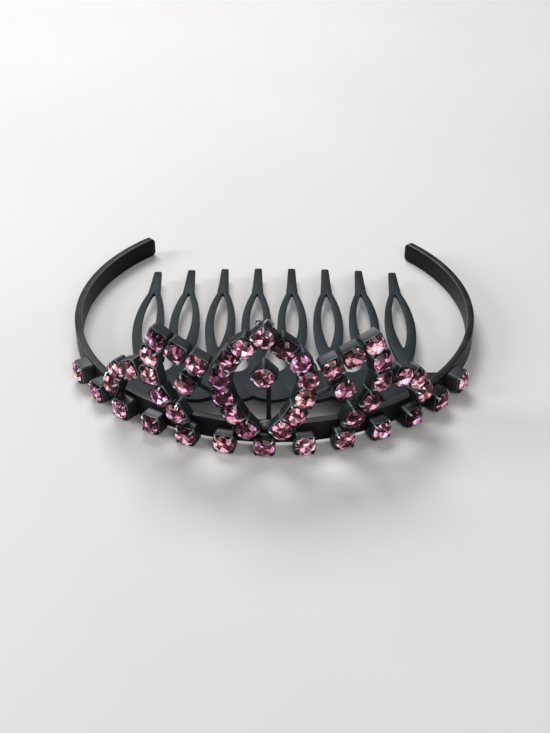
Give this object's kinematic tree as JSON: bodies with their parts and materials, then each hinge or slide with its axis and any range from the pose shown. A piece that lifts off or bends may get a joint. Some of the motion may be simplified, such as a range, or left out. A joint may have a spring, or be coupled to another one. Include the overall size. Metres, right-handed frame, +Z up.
{
  "type": "tiara comb",
  "caption": "Small tiara on a hair comb: an open band with a row of square claw settings, an openwork crown of pink round stones, and a flat comb with pierced teeth inside the band.",
  "frame": {"origin": "on the ground, under the middle of the object's length and depth, as it lies on a table", "axes": "+X to the right as the crown is seen from in front, +Y from the crown towards the tips of the comb's teeth, +Z up, the way the crown rises"},
  "size_m": [0.086, 0.0766, 0.0285],
  "materials": {
    "band_metal": "dark grey plated metal, satin with fine brush lines",
    "comb_metal": "dark teal-grey plated metal, matt",
    "settings_metal": "dark plated metal, semi-polished with bright edges",
    "stone": "faceted rose-pink glass with a foiled back"
  },
  "bodies": {
    "root": {"band": "band_metal", "comb": "comb_metal", "ring": "settings_metal", "middle_setting": "settings_metal", "lobe_left": "settings_metal", "lobe_right": "settings_metal", "end_left": "settings_metal", "end_right": "settings_metal", "base_stones": "stone", "middle_stone": "stone", "top_stone": "stone", "ring_stone_left_1": "stone", "ring_stone_left_2": "stone", "ring_stone_left_3": "stone", "ring_stone_left_4": "stone", "ring_stone_left_5": "stone", "ring_stone_left_6": "stone", "ring_stone_right_1": "stone", "ring_stone_right_2": "stone", "ring_stone_right_3": "stone", "ring_stone_right_4": "stone", "ring_stone_right_5": "stone", "ring_stone_right_6": "stone", "lobe_stone_left_1": "stone", "lobe_stone_left_2": "stone", "lobe_stone_left_3": "stone", "lobe_stone_left_4": "stone", "lobe_stone_left_5": "stone", "lobe_stone_left_6": "stone", "lobe_stone_left_7": "stone", "lobe_stone_left_8": "stone", "lobe_stone_right_1": "stone", "lobe_stone_right_2": "stone", "lobe_stone_right_3": "stone", "lobe_stone_right_4": "stone", "lobe_stone_right_5": "stone", "lobe_stone_right_6": "stone", "lobe_stone_right_7": "stone", "lobe_stone_right_8": "stone", "end_stone_left_1": "stone", "end_stone_left_2": "stone", "end_stone_left_3": "stone", "end_stone_right_1": "stone", "end_stone_right_2": "stone", "end_stone_right_3": "stone"}
  },
  "joints": []
}
